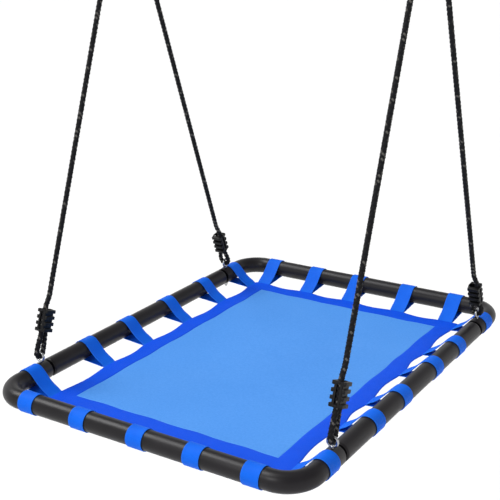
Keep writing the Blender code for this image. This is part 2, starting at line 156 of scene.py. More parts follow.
# name: (side of X, side of Y, height of the adjuster above the rope's loop, whether the eye is turned)
CORNERS = {
    "front_left": (-1, -1, 47 * MM, False),
    "back_left": (-1, 1, 34 * MM, True),
    "front_right": (1, -1, 54 * MM, False),
    "back_right": (1, 1, 24 * MM, True),
}

# Camera, from the frame's centre
CAMERA_PLACE = Vector((1.1527, -1.8607, 0.9705))
CAMERA_FORWARD = Vector((-0.514, 0.7972, -0.3167))
CAMERA_ROLL = math.radians(-0.75)
CAMERA_LENS = 74.2  # mm, on a sensor 36 mm wide

# Floor and light
FLOOR_Z = FRAME_Z - 1.3
FLOOR_REACH = 30
KEY_DIRECTION = (-0.57, -0.08, 0.81)  # towards the light
KEY_WIDTH = 28  # degrees
KEY_STRENGTH = 2.2
FRONT_LIGHT_PLACE = (-0.5, -3.0, 2.2)  # from the frame's centre
FRONT_LIGHT_SIZE = 0.5
FRONT_LIGHT_POWER = 36
WORLD_HORIZON = 1.05
WORLD_OVERHEAD = 0.42
WORLD_FADE_START = 0.25
WORLD_FADE_END = 0.5


# Camera

camera_data = bpy.data.cameras.new("camera")
camera_data.lens = CAMERA_LENS
camera_data.sensor_width = 36
camera = bpy.data.objects.new("camera", camera_data)
bpy.context.scene.collection.objects.link(camera)
looking = CAMERA_FORWARD.normalized().to_track_quat("-Z", "Y")
camera.rotation_mode = "QUATERNION"
camera.rotation_quaternion = looking @ Quaternion((0, 0, 1), CAMERA_ROLL)
camera.location = CAMERA_PLACE + Vector((0, 0, FRAME_Z))
bpy.context.scene.camera = camera
bpy.context.scene.view_settings.view_transform = "Standard"


# Materials


def tone(red, green, blue):
    """A linear colour from one given as 0 to 255 on a screen."""
    return tuple(
        (c / 255 / 12.92) if c <= 10 else ((c / 255 + 0.055) / 1.055) ** 2.4 for c in (red, green, blue)
    ) + (1,)


class Look:
    """A material made of a Principled shader and the nodes that feed it."""

    def __init__(self, name, colour, roughness, metallic=0.0, specular=0.5):
        self.material = bpy.data.materials.new(name)
        self.material.use_nodes = True
        self.material.diffuse_color = colour
        self.tree = self.material.node_tree
        self.shader = self.tree.nodes["Principled BSDF"]
        self.shader.inputs["Base Color"].default_value = colour
        self.shader.inputs["Roughness"].default_value = roughness
        self.shader.inputs["Metallic"].default_value = metallic
        self.shader.inputs["Specular IOR Level"].default_value = specular

    def node(self, kind, inputs=None, **settings):
        made = self.tree.nodes.new(kind)
        for name, value in settings.items():
            setattr(made, name, value)
        for name, value in (inputs or {}).items():
            if isinstance(value, bpy.types.NodeSocket):
                self.tree.links.new(value, made.inputs[name])
            else:
                made.inputs[name].default_value = value
        return made

    def sum(self, operation, *values):
        inputs = dict(enumerate(values))
        return self.node("ShaderNodeMath", inputs, operation=operation).outputs[0]

    def place(self):
        return self.node("ShaderNodeTexCoord").outputs["Object"]

    def weave_place(self):
        """The across and along distances that the piece's own UV map holds."""
        uv = self.node("ShaderNodeUVMap", uv_map="weave").outputs["UV"]
        parts = self.node("ShaderNodeSeparateXYZ", {"Vector": uv})
        return parts.outputs["X"], parts.outputs["Y"]

    def noise(self, scale, detail=3.0, roughness=0.5):
        inputs = {"Vector": self.place(), "Scale": scale, "Detail": detail, "Roughness": roughness}
        return self.node("ShaderNodeTexNoise", inputs).outputs["Fac"]

    def between(self, value, low, high, from_low=0.0, from_high=1.0):
        inputs = {"Value": value, "From Min": from_low, "From Max": from_high, "To Min": low, "To Max": high}
        return self.node("ShaderNodeMapRange", inputs).outputs["Result"]

    def mix(self, share, first, second):
        made = self.node("ShaderNodeMix", data_type="RGBA")
        sockets = (made.inputs["Factor"], made.inputs[6], made.inputs[7])
        for socket, value in zip(sockets, (share, first, second)):
            if isinstance(value, bpy.types.NodeSocket):
                self.tree.links.new(value, socket)
            else:
                socket.default_value = value
        return made.outputs[2]

    def colour(self, socket):
        self.tree.links.new(socket, self.shader.inputs["Base Color"])

    def roughness(self, socket):
        self.tree.links.new(socket, self.shader.inputs["Roughness"])

    def bump(self, height, strength, distance):
        inputs = {"Height": height, "Strength": strength, "Distance": distance}
        return self.node("ShaderNodeBump", inputs).outputs["Normal"]

    def relief(self, normal):
        self.tree.links.new(normal, self.shader.inputs["Normal"])


def frame_look():
    """Satin black powder coat: a fine orange peel, and slightly rubbed patches."""
    look = Look("frame_paint", tone(26, 24, 27), 0.4, specular=0.25)
    patches = look.noise(9, 4)
    look.colour(look.mix(look.between(patches, 0, 1, 0.35, 0.7), tone(18, 16, 19), tone(27, 24, 28)))
    look.roughness(look.between(patches, 0.36, 0.44, 0.3, 0.7))
    peel = look.noise(750, 2)
    look.relief(look.bump(peel, 0.25, 0.15 * MM))
    return look.material


def neck_shade_look():
    """The end of a tube inside its joint, painted near-black as the shade that falls in the recessed neck."""
    # near-black: painted shade in the neck's recess
    look = Look("painted_neck_shade", tone(4, 4, 5), 0.8, specular=0.02)
    look.roughness(look.between(look.noise(300, 2), 0.6, 0.8))
    return look.material


def steel_look():
    """Bright zinc plate, with fine marks and a little blue and yellow in it."""
    look = Look("bright_steel", tone(168, 171, 178), 0.22, metallic=1.0)
    tint = look.noise(120, 3)
    look.colour(look.mix(tint, tone(146, 151, 162), tone(190, 189, 184)))
    marks = look.noise(900, 5, 0.7)
    look.roughness(look.between(marks, 0.14, 0.32, 0.3, 0.7))
    look.relief(look.bump(marks, 0.12, 0.05 * MM))
    return look.material


def plastic_look():
    look = Look("black_plastic", tone(8, 8, 9), 0.45, specular=0.2)
    flow = look.noise(60, 3)
    look.colour(look.mix(flow, tone(5, 5, 6), tone(13, 13, 15)))
    look.roughness(look.between(look.noise(500, 3), 0.38, 0.55))
    look.relief(look.bump(look.noise(1400, 2), 0.2, 0.08 * MM))
    return look.material


def rope_look():
    """A black braid with short pale marks painted on a few strands as sheen. The UV map holds turns round the
    rope and metres along it.
    """
    look = Look("braided_rope", tone(8, 8, 9), 0.7, specular=0.15)
    turn, along = look.weave_place()
    turns = look.sum("MULTIPLY", turn, PLAITS)
    rows = look.sum("DIVIDE", along, PLAIT_PITCH)
    right = look.sum("ADD", turns, rows)
    left = look.sum("SUBTRACT", turns, rows)
    cell = look.node("ShaderNodeCombineXYZ", {"X": look.sum("FLOOR", right), "Y": look.sum("FLOOR", left)})
    chance = look.node("ShaderNodeTexWhiteNoise", {"Vector": cell.outputs[0]}, noise_dimensions="2D")
    chosen = look.sum("GREATER_THAN", chance.outputs["Value"], SHEEN_FLECK_RARITY)
    inside_right = look.sum("ABSOLUTE", look.sum("SUBTRACT", look.sum("FRACT", right), 0.5))
    inside_left = look.sum("ABSOLUTE", look.sum("SUBTRACT", look.sum("FRACT", left), 0.5))
    narrow = look.sum("LESS_THAN", inside_right, SHEEN_FLECK_HALF_WIDTH)
    short = look.sum("LESS_THAN", inside_left, SHEEN_FLECK_HALF_LENGTH)
    # painted sheen: short pale marks on a few randomly chosen strands
    sheen_fleck = look.sum("MULTIPLY", look.sum("MULTIPLY", chosen, narrow), short)
    fibres = look.noise(1600, 3)
    yarn = look.mix(fibres, tone(5, 5, 6), tone(26, 26, 30))
    # the pale colour is painted sheen
    look.colour(look.mix(sheen_fleck, yarn, tone(84, 82, 78)))
    look.roughness(look.between(fibres, 0.55, 0.8))
    look.relief(look.bump(fibres, 0.5, 0.25 * MM))
    return look.material


def webbing_look(name, dark, light, half_width=None):
    """Ribbed webbing, with painted shade darkening its grooves. The UV map holds metres across and along it.
    half_width gives it paler edges.
    """
    look = Look(name, light, 0.65, specular=0.12)
    across, along = look.weave_place()
    column = look.sum("MULTIPLY", across, 2 * math.pi / WEBBING_COLUMN)
    slant = look.sum("PINGPONG", look.sum("DIVIDE", across, WEBBING_COLUMN), 1.0)
    row = look.sum("ADD", look.sum("DIVIDE", along, WEBBING_ROW), slant)
    rib = look.sum("SINE", look.sum("MULTIPLY", row, 2 * math.pi))
    groove = look.sum("COSINE", column)
    weave = look.sum("ADD", look.sum("MULTIPLY", rib, 0.6), look.sum("MULTIPLY", groove, 0.4))
    height = look.between(weave, 0, 1, -1, 1)
    patches = look.noise(35, 3)
    # painted shade: the grooves of the weave are darker; the patches vary the tone at random
    shade = look.sum("MULTIPLY", look.between(height, 0.75, 1.0), look.between(patches, 0.85, 1.0, 0.3, 0.7))
    cloth = look.mix(shade, dark, light)
    if half_width:
        distance = look.sum("ABSOLUTE", across)
        edge = look.between(distance, 0, 0.3, half_width - 1.6 * MM, half_width - 0.6 * MM)
        cloth = look.mix(edge, cloth, tone(50, 130, 244))
    look.colour(cloth)
    look.roughness(look.between(height, 0.7, 0.5))
    look.relief(look.bump(height, 0.5, 0.3 * MM))
    return look.material


def mat_look():
    """A coated plain weave, whose two sets of threads stand up in turn, with painted shade where they dip."""
    look = Look("mat_mesh", tone(78, 150, 232), 0.65, specular=0.12)
    across, along = look.weave_place()
    warp = look.sum("SINE", look.sum("MULTIPLY", across, 2 * math.pi / MAT_THREAD))
    weft = look.sum("SINE", look.sum("MULTIPLY", along, 2 * math.pi / MAT_THREAD))
    weave = look.sum("MULTIPLY", warp, weft)
    height = look.between(weave, 0, 1, -1, 1)
    speckle = look.noise(210, 3, 0.6)
    clouds = look.noise(7, 3)
    patches = look.between(clouds, 0.45, 0.55, 0.3, 0.7)
    shade = look.sum("ADD", look.between(speckle, -0.16, 0.16, 0.3, 0.7), patches)
    cloth = look.mix(shade, tone(58, 132, 214), tone(94, 162, 238))
    # painted shade: a darker blue where the threads dip
    look.colour(look.mix(look.between(height, 0.18, 0.0), cloth, tone(40, 92, 205)))
    look.roughness(look.between(height, 0.68, 0.52))
    look.relief(look.bump(height, 0.4, 0.3 * MM))
    return look.material


FRAME_PAINT = frame_look()
NECK_PAINTED_SHADE = neck_shade_look()
STEEL = steel_look()
PLASTIC = plastic_look()
ROPE = rope_look()
# the first colour of each webbing is the painted shade of its grooves
STRAP_WEBBING = webbing_look("strap_webbing", tone(1, 58, 176), tone(4, 103, 228), STRAP_WIDTH / 2)
BINDING_WEBBING = webbing_look("binding_webbing", tone(0, 50, 178), tone(1, 82, 226))
MAT_MESH = mat_look()


# Shapes


class Surface:
    """The points, faces and weave coordinates of one piece, put together from grids of points."""

    def __init__(self):
        self.points = []
        self.faces = []
        self.weave = []
        self.finishes = []

    def grid(self, rows, across, along, ring=False, loop=False, finish=0):
        """Faces between rows of points. A ring's rows join end to end; a loop's last row joins its first."""
        first = len(self.points)
        width = len(rows[0])
        for row in rows:
            self.points += [tuple(point) for point in row]
        for i in range(len(rows) if loop else len(rows) - 1):
            for j in range(width if ring else width - 1):
                here, beyond = first + i * width, first + (i + 1) % len(rows) * width
                right = (j + 1) % width
                self.faces.append((here + j, here + right, beyond + right, beyond + j))
                u, v = (across[j], across[j + 1]), (along[i], along[i + 1])
                self.weave += [(u[0], v[0]), (u[1], v[0]), (u[1], v[1]), (u[0], v[1])]
                self.finishes.append(finish if isinstance(finish, int) else finish[i])
        return first

    def cap(self, first, width):
        self.faces.append(tuple(range(first, first + width)))
        self.weave += [(0, 0)] * width
        self.finishes.append(0)

    def tube(self, stations, sides, up=UP, caps=True, loop=False, swell=None, finish=0):
        """stations are (centre, direction, radius). swell(turn, distance) is added to the radius."""
        rows, along, walked = [], [], 0
        normal = up
        for i, (centre, direction, radius) in enumerate(stations):
            normal = (normal - direction * normal.dot(direction)).normalized()
            side = direction.cross(normal)
            walked += (centre - stations[i - 1][0]).length if i else 0
            along.append(walked)
            row = []
            for j in range(sides):
                turn = j / sides
                angle = 2 * math.pi * turn
                out = radius + (swell(turn, walked) if swell else 0)
                row.append(centre + out * (math.cos(angle) * normal + math.sin(angle) * side))
            rows.append(row)
        if loop:
            along.append(walked + (stations[0][0] - stations[-1][0]).length)
        across = [j / sides for j in range(sides + 1)]
        first = self.grid(rows, across, along, ring=True, loop=loop, finish=finish)
        if caps and not loop:
            self.cap(first, sides)
            self.cap(first + (len(rows) - 1) * sides, sides)

    def piece(self, name, finishes, body, nodes, sharp=40, matrix=None):
        mesh = bpy.data.meshes.new(name)
        mesh.from_pydata(self.points, [], self.faces)
        for finish in finishes:
            mesh.materials.append(finish)
        layer = mesh.uv_layers.new(name="weave")
        layer.data.foreach_set("uv", [c for place in self.weave for c in place])
        mesh.polygons.foreach_set("material_index", self.finishes)
        work = bmesh.new()
        work.from_mesh(mesh)
        bmesh.ops.recalc_face_normals(work, faces=work.faces)
        work.to_mesh(mesh)
        work.free()
        mesh.shade_smooth()
        mesh.set_sharp_from_angle(angle=math.radians(sharp))
        if matrix:
            mesh.transform(matrix)
        made = bpy.data.objects.new(name, mesh)
        bpy.context.scene.collection.objects.link(made)
        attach(made, body)
        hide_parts(*nodes)
        return made


def arc(centre, radius, start, end, steps):
    """Points of an arc in a plane, from one angle in degrees to another."""
    turns = [math.radians(start + (end - start) * i / steps) for i in range(steps + 1)]
    return [(centre[0] + radius * math.cos(t), centre[1] + radius * math.sin(t)) for t in turns]


def directions(points, loop=False):
    """The way that a line runs at each of its points."""
    result = []
    for i in range(len(points)):
        before = points[i - 1] if i or loop else points[0]
        after = points[(i + 1) % len(points)] if loop or i + 1 < len(points) else points[-1]
        result.append((after - before).normalized())
    return result


def wire(surface, points, radius, sides, up=UP, loop=False, rounded=False):
    """A round wire along points. A rounded one has domed ends."""
    ways = directions(points, loop)
    stations = [(point, way, radius) for point, way in zip(points, ways)]
    if rounded:
        dome = [(math.sin(math.radians(a)), math.cos(math.radians(a))) for a in (75, 50, 25)]
        start, end = stations[0], stations[-1]
        head = [(start[0] - start[1] * radius * out * 0.5, start[1], radius * wide) for out, wide in dome]
        tail = [(end[0] + end[1] * radius * out * 0.5, end[1], radius * wide) for out, wide in reversed(dome)]
        stations = head + stations + tail
    surface.tube(stations, sides, up, loop=loop)


# Ropes


def eased(start, end, steps):
    """Points between two (height, offset) places, along a smooth S."""
    points = []
    for i in range(1, steps + 1):
        share = i / (steps + 1)
        blend = (1 - math.cos(math.pi * share)) / 2
        points.append((start[0] + (end[0] - start[0]) * share, start[1] + (end[1] - start[1]) * blend))
    return points


def rope_lines(side, end, turned):
    """Where a rope's two ends lie.

    That is the middle of the eye's wire under it, its direction, the direction that its lower loop opens in,
    and how far up the ring's wire is.
    """
    eye = Vector((side * SIDE_X, end * EYE_Y, EYE_Z))
    slant = math.radians(RING_LOOP_ANGLE)
    ring_wire = Vector((0, end * RING_RADIUS * math.sin(slant), -RING_RADIUS * math.cos(slant)))
    top = Vector((side * SIDE_X, 0, RING_Z)) + ring_wire
    if turned:
        foot = eye + EYE_RADIUS * (top - eye).normalized()
        up = (top - foot).normalized()
        sideways = ACROSS
    else:
        foot = eye + Vector((0, 0, EYE_RADIUS))
        up = (top - foot).normalized()
        sideways = ACROSS.cross(up)
    return foot, up, sideways, (top - foot).length


def rope_route(side, end, adjuster_height, turned):
    """The rope's middle line, from its tail in the adjuster, round the eye and ring, to its ferrule."""
    foot, up, sideways, ring_height = rope_lines(side, end, turned)
    loop = TURNED_EYE_LOOP_RADIUS if turned else EYE_LOOP_RADIUS
    low = adjuster_height
    high = adjuster_height + ADJUSTER_LENGTH
    ferrule_top = ring_height - FERRULE_BELOW_RING
    ferrule_bottom = ferrule_top - FERRULE_LENGTH

    lower = [(high - TAIL_END, -STRAND_OFFSET), (low, -STRAND_OFFSET)]
    lower += eased((low, -STRAND_OFFSET), (LOOP_LEG, -loop), 8)
    lower += [(h, o) for o, h in arc((0, 0), loop, 180, 360, 18)]
    lower += eased((LOOP_LEG, loop), (low, STRAND_OFFSET), 8)
    lower += [(low, STRAND_OFFSET), (high, STRAND_OFFSET)]
    lower += eased((high, STRAND_OFFSET), (high + JOINING, 0), 8)

    upper = eased((ferrule_bottom - JOINING, 0), (ferrule_bottom, -STRAND_OFFSET), 8)
    upper += [(ferrule_bottom, -STRAND_OFFSET), (ferrule_top, -STRAND_OFFSET)]
    upper += eased((ferrule_top, -STRAND_OFFSET), (ring_height - LOOP_LEG, -RING_LOOP_RADIUS), 8)
    upper += [(ring_height + h, o) for o, h in arc((0, 0), RING_LOOP_RADIUS, 180, 0, 18)]
    upper += eased((ring_height - LOOP_LEG, RING_LOOP_RADIUS), (ferrule_top, STRAND_OFFSET), 8)
    upper += [(ferrule_top, STRAND_OFFSET), (ferrule_bottom + TAIL_END, STRAND_OFFSET)]

    route = [foot + up * height + sideways * offset for height, offset in lower]
    return route + [foot + up * height + ACROSS * offset for height, offset in upper]


def resampled(points, step):
    """Evenly spaced points on the same line, with its corners eased."""
    total = sum((b - a).length for a, b in zip(points, points[1:]))
    count = round(total / step)
    result, walked, i = [points[0]], 0.0, 0
    for k in range(1, count):
        target = total * k / count
        while walked + (points[i + 1] - points[i]).length < target:
            walked += (points[i + 1] - points[i]).length
            i += 1
        share = (target - walked) / (points[i + 1] - points[i]).length
        result.append(points[i].lerp(points[i + 1], share))
    result.append(points[-1])
    for _ in range(3):
        middles = [(a + c) / 4 + b / 2 for a, b, c in zip(result, result[1:], result[2:])]
        result = [result[0], *middles, result[-1]]
    return result


def plait(turn, along):
    """How far a braid's surface stands out at this turn round the rope and this distance along it."""
    right = PLAITS * turn + along / PLAIT_PITCH
    left = PLAITS * turn - along / PLAIT_PITCH
    over = abs(math.sin(math.pi * right)) * abs(math.sin(math.pi * left))
    return PLAIT_HEIGHT * (over**PLAIT_ROUNDNESS - PLAIT_MIDDLE)


def upright_axes(middle, up, thick):
    """A matrix whose Z is up and whose Y is thick, at middle."""
    wide = thick.cross(up)
    turn = Matrix((wide, thick, up)).transposed().to_4x4()
    return Matrix.Translation(middle) @ turn


def oval(half_length, half_width, steps=12):
    """An outline with round ends, long along Y."""
    reach = half_length - half_width
    return arc((0, reach), half_width, 0, 180, steps) + arc((0, -reach), half_width, 180, 360, steps)


def strand_bore(clearance):
    return oval(STRAND_OFFSET + ROPE_RADIUS + clearance, ROPE_RADIUS + clearance)


def add_block(surface, low, high, round_by, taper=0.0):
    """A box with rounded edges, narrower by taper at its high X end."""
    work = bmesh.new()
    bmesh.ops.create_cube(work, size=1)
    for corner in work.verts:
        share = [c + 0.5 for c in corner.co]
        corner.co = [low[i] + (high[i] - low[i]) * share[i] for i in range(3)]
        middle = (low[2] + high[2]) / 2
        outer = share[0] if low[0] >= 0 else 1 - share[0]
        corner.co.z -= taper * outer * (1 if corner.co.z > middle else -1)
    bmesh.ops.bevel(work, geom=work.edges[:], offset=round_by, segments=3, profile=0.5, affect="EDGES")
    first = len(surface.points)
    work.verts.index_update()
    surface.points += [tuple(v.co) for v in work.verts]
    for face in work.faces:
        surface.faces.append(tuple(first + v.index for v in face.verts))
        surface.weave += [(v.co.x, v.co.z) for v in face.verts]
        surface.finishes.append(0)
    work.free()


def add_collar(surface, outer, inner, low, high, round_by):
    """A short sleeve between two outlines with the same number of points."""
    levels = [(high, 1), (high - round_by * 0.3, 0.3), (high - round_by, 0)]
    levels += [(low + round_by, 0), (low + round_by * 0.3, 0.3), (low, 1)]
    rows = [[(x, y, high - round_by) for x, y in inner]]
    rows += [[shrunk(x, y, share * round_by, lift) for x, y in outer] for lift, share in levels]
    rows.append([(x, y, low + round_by) for x, y in inner])
    steps = list(range(len(outer) + 1))
    surface.grid(rows, steps, list(range(len(rows) + 1)), ring=True, loop=True)


def shrunk(x, y, amount, height):
    """A point of an outline moved towards the middle."""
    reach = math.hypot(x, y)
    return x * (1 - amount / reach), y * (1 - amount / reach), height


def make_adjuster(corner, body, foot, up, sideways, height):
    """A ladder block: two rails with lugs, joined at both ends, with the rope's strands between them."""
    surface = Surface()
    half = ADJUSTER_LENGTH / 2
    edge = 1.5 * MM
    core, thick = ADJUSTER_HALF_CORE, ADJUSTER_HALF_THICKNESS
    window = 3.6 * MM  # half the width of the slot that shows the rope
    reach = ROPE_RADIUS + STRAND_CLEARANCE
    slot_turn = math.degrees(math.acos(window / reach))
    for side in (-1, 1):
        inner = [(side * x, y) for x, y in arc((0, STRAND_OFFSET), reach, slot_turn, 0, 5)]
        inner += [(side * x, y) for x, y in arc((0, -STRAND_OFFSET), reach, 0, -slot_turn, 5)]
        outer = [(side * window, -thick), (side * (core - edge), -thick), (side * core, -thick + edge)]
        outer += [(side * core, thick - edge), (side * (core - edge), thick), (side * window, thick)]
        section = inner + outer
        rows = [[(x, y, z) for x, y in section] for z in (-half + 0.5 * MM, half - 0.5 * MM)]
        first = surface.grid(rows, list(range(len(section) + 1)), [0, 1], ring=True)
        surface.cap(first, len(section))
        surface.cap(first + len(section), len(section))
        pitch = (ADJUSTER_LENGTH - LUG_LENGTH) / (LUGS - 1)
        for lug in range(LUGS):
            bottom = lug * pitch - half
            low_x, high_x = sorted((side * LUG_ROOT, side * LUG_REACH))
            low = (low_x, -thick + 0.5 * MM, bottom)
            high = (high_x, thick - 0.5 * MM, bottom + LUG_LENGTH)
            add_block(surface, low, high, 1.1 * MM, 0.5 * MM)
    inner = strand_bore(STRAND_CLEARANCE)
    outer = oval(15 * MM, ADJUSTER_HALF_CORE)
    for low, high in ((-half, -half + ADJUSTER_END), (half - ADJUSTER_END, half)):
        add_collar(surface, outer, inner, low, high, 0.9 * MM)
    place = upright_axes(foot + up * (height + half), up, sideways)
    return surface.piece(
        f"ladder_adjuster_{corner}", [PLASTIC], body, [f"adjuster_{corner}"], 35, place
    )


def make_ferrule(corner, body, foot, up, ring_height):
    surface = Surface()
    inner = strand_bore(STRAND_CLEARANCE)
    outer = strand_bore(STRAND_CLEARANCE + FERRULE_WALL)
    half = FERRULE_LENGTH / 2
    add_collar(surface, outer, inner, -half, half, 0.7 * MM)
    for height in (-half + 5 * MM, 0, half - 5 * MM):
        band = strand_bore(STRAND_CLEARANCE + FERRULE_WALL + 0.35 * MM)
        add_collar(surface, band, inner, height - 1.2 * MM, height + 1.2 * MM, 0.4 * MM)
    middle = ring_height - FERRULE_BELOW_RING - half
    place = upright_axes(foot + up * middle, up, ACROSS)
    return surface.piece(
        f"crimped_ferrule_{corner}", [PLASTIC], body, [f"rope_ferrule_{corner}"], 35, place
    )


def make_rope(corner):
    side, end, adjuster_height, turned = CORNERS[corner]
    body = "ropes_left" if side < 0 else "ropes_right"
    line = resampled(rope_route(side, end, adjuster_height, turned), ROPE_STEP)
    surface = Surface()
    stations = [(point, way, ROPE_RADIUS) for point, way in zip(line, directions(line))]
    surface.tube(stations, ROPE_SIDES, ACROSS, swell=plait)
    rope = surface.piece(f"braided_rope_{corner}", [ROPE], body, [f"rope_{corner}"], 60)
    foot, up, sideways, ring_height = rope_lines(side, end, turned)
    adjuster = make_adjuster(corner, body, foot, up, sideways, adjuster_height)
    ferrule = make_ferrule(corner, body, foot, up, ring_height)


for corner_name in CORNERS:
    make_rope(corner_name)


# Rings and spring hooks


def make_hanger(name, side):
    x = side * SIDE_X
    ring = Surface()
    circle = [Vector((x, y, RING_Z + z)) for y, z in arc((0, 0), RING_RADIUS, 0, 360, 96)[:-1]]
    wire(ring, circle, RING_WIRE, 20, ACROSS, loop=True)
    ring.piece(f"steel_ring_{name}", [STEEL], f"ring_{name}", [f"hanging_ring_{name}"])

    top = (0, HOOK_TOP_Z - HOOK_HALF_WIDTH)
    bottom = (0, HOOK_BOTTOM_Z + HOOK_HALF_WIDTH)
    line = [(HOOK_HALF_WIDTH, GATE_BOTTOM - GATE_GAP - HOOK_DOME)]
    line += arc(bottom, HOOK_HALF_WIDTH, 0, -180, 30)
    line += [(-HOOK_HALF_WIDTH, (top[1] + bottom[1]) / 2)]
    line += arc(top, HOOK_HALF_WIDTH, 180, 0, 30)
    line += [(HOOK_HALF_WIDTH, GATE_TOP + NOSE_GAP + HOOK_DOME)]
    hook = Surface()
    wire(hook, [Vector((x + a, 0, z)) for a, z in line], HOOK_WIRE, 20, Vector((0, 1, 0)), rounded=True)
    hook.piece(f"spring_hook_{name}", [STEEL], "hangers", [f"carabiner_{name}"])

    gate = Surface()
    gate_x = x + HOOK_HALF_WIDTH
    upright = [Vector((gate_x, 0, GATE_BOTTOM + 1.5 * MM)), Vector((gate_x, 0, GATE_TOP - 1.5 * MM))]
    wire(gate, upright, GATE_RADIUS, 20, ACROSS, rounded=True)
    pin = [Vector((gate_x, y * MM, GATE_BOTTOM + 3 * MM)) for y in (-2.9, -2.6, 2.6, 2.9)]
    wire(gate, pin, 1.1 * MM, 14, ACROSS, rounded=True)
    gate.piece(f"spring_gate_{name}", [STEEL], f"gate_{name}", [f"carabiner_gate_{name}"])


make_hanger("left", -1)
make_hanger("right", 1)


# Frame


def make_end_tube(name, end):
    """A bent tube with a rounded lip at each mouth and a little of its bore."""
    bend_x = SIDE_X - BEND_RADIUS
    bend_y = END_Y - BEND_RADIUS
    bore = NECK_RADIUS + 0.5 * MM
    mouth = [(SEAM_Y + NECK_MODELLED, bore), (SEAM_Y + LIP, bore), (SEAM_Y, bore + LIP)]
    mouth += [(SEAM_Y, TUBE_RADIUS - LIP)]
    mouth += [(SEAM_Y + 0.3 * LIP, TUBE_RADIUS - 0.3 * LIP), (SEAM_Y + LIP, TUBE_RADIUS)]
    line = arc((bend_x, bend_y), BEND_RADIUS, 0, 90, BEND_STEPS)
    half = [((SIDE_X, y), (0, 1), radius) for y, radius in mouth]
    for i, point in enumerate(line):
        turn = math.radians(90 * i / BEND_STEPS)
        half.append((point, (-math.sin(turn), math.cos(turn)), TUBE_RADIUS))
    whole = half + [((-x, y), (dx, -dy), radius) for (x, y), (dx, dy), radius in reversed(half)]
    stations = [
        (Vector((x, end * y, FRAME_Z)), Vector((dx, end * dy, 0)).normalized(), radius)
        for (x, y), (dx, dy), radius in whole
    ]
    surface = Surface()
    surface.tube(stations, TUBE_SIDES, UP, caps=False)
    surface.piece(f"bent_tube_{name}", [FRAME_PAINT], "platform", [f"end_tube_{name}"])


def make_side_tube(name, side):
    """A straight tube whose tapered necks, painted near-black as shade, show as dark bands at the seams."""
    shoulder = SEAM_Y - NECK_SHOWS
    tip = SEAM_Y + NECK_MODELLED
    half = [(tip, NECK_RADIUS), (shoulder + 0.3 * MM, NECK_RADIUS), (shoulder, NECK_RADIUS + 0.4 * MM)]
    half += [(shoulder - 0.8 * NECK_TAPER, TUBE_RADIUS - 0.3 * MM), (shoulder - NECK_TAPER, TUBE_RADIUS)]
    half += [(shoulder - 2 * NECK_TAPER, TUBE_RADIUS), (0.1, TUBE_RADIUS)]
    line = [(-y, radius) for y, radius in half] + [(y, radius) for y, radius in reversed(half)]
    along = Vector((0, 1, 0))
    stations = [(Vector((side * SIDE_X, y, FRAME_Z)), along, radius) for y, radius in line]
    surface = Surface()
    # the neck rings get the near-black painted shade
    finish = [1 if i < 2 or i >= len(line) - 3 else 0 for i in range(len(line))]
    surface.tube(stations, TUBE_SIDES, UP, finish=finish)
    surface.piece(
        f"straight_tube_{name}", [FRAME_PAINT, NECK_PAINTED_SHADE], "platform", [f"side_tube_{name}"]
    )


for end_name, end_side in (("front", -1), ("back", 1)):
    make_end_tube(end_name, end_side)
for side_name, side_side in (("left", -1), ("right", 1)):
    make_side_tube(side_name, side_side)


# Eyebolts


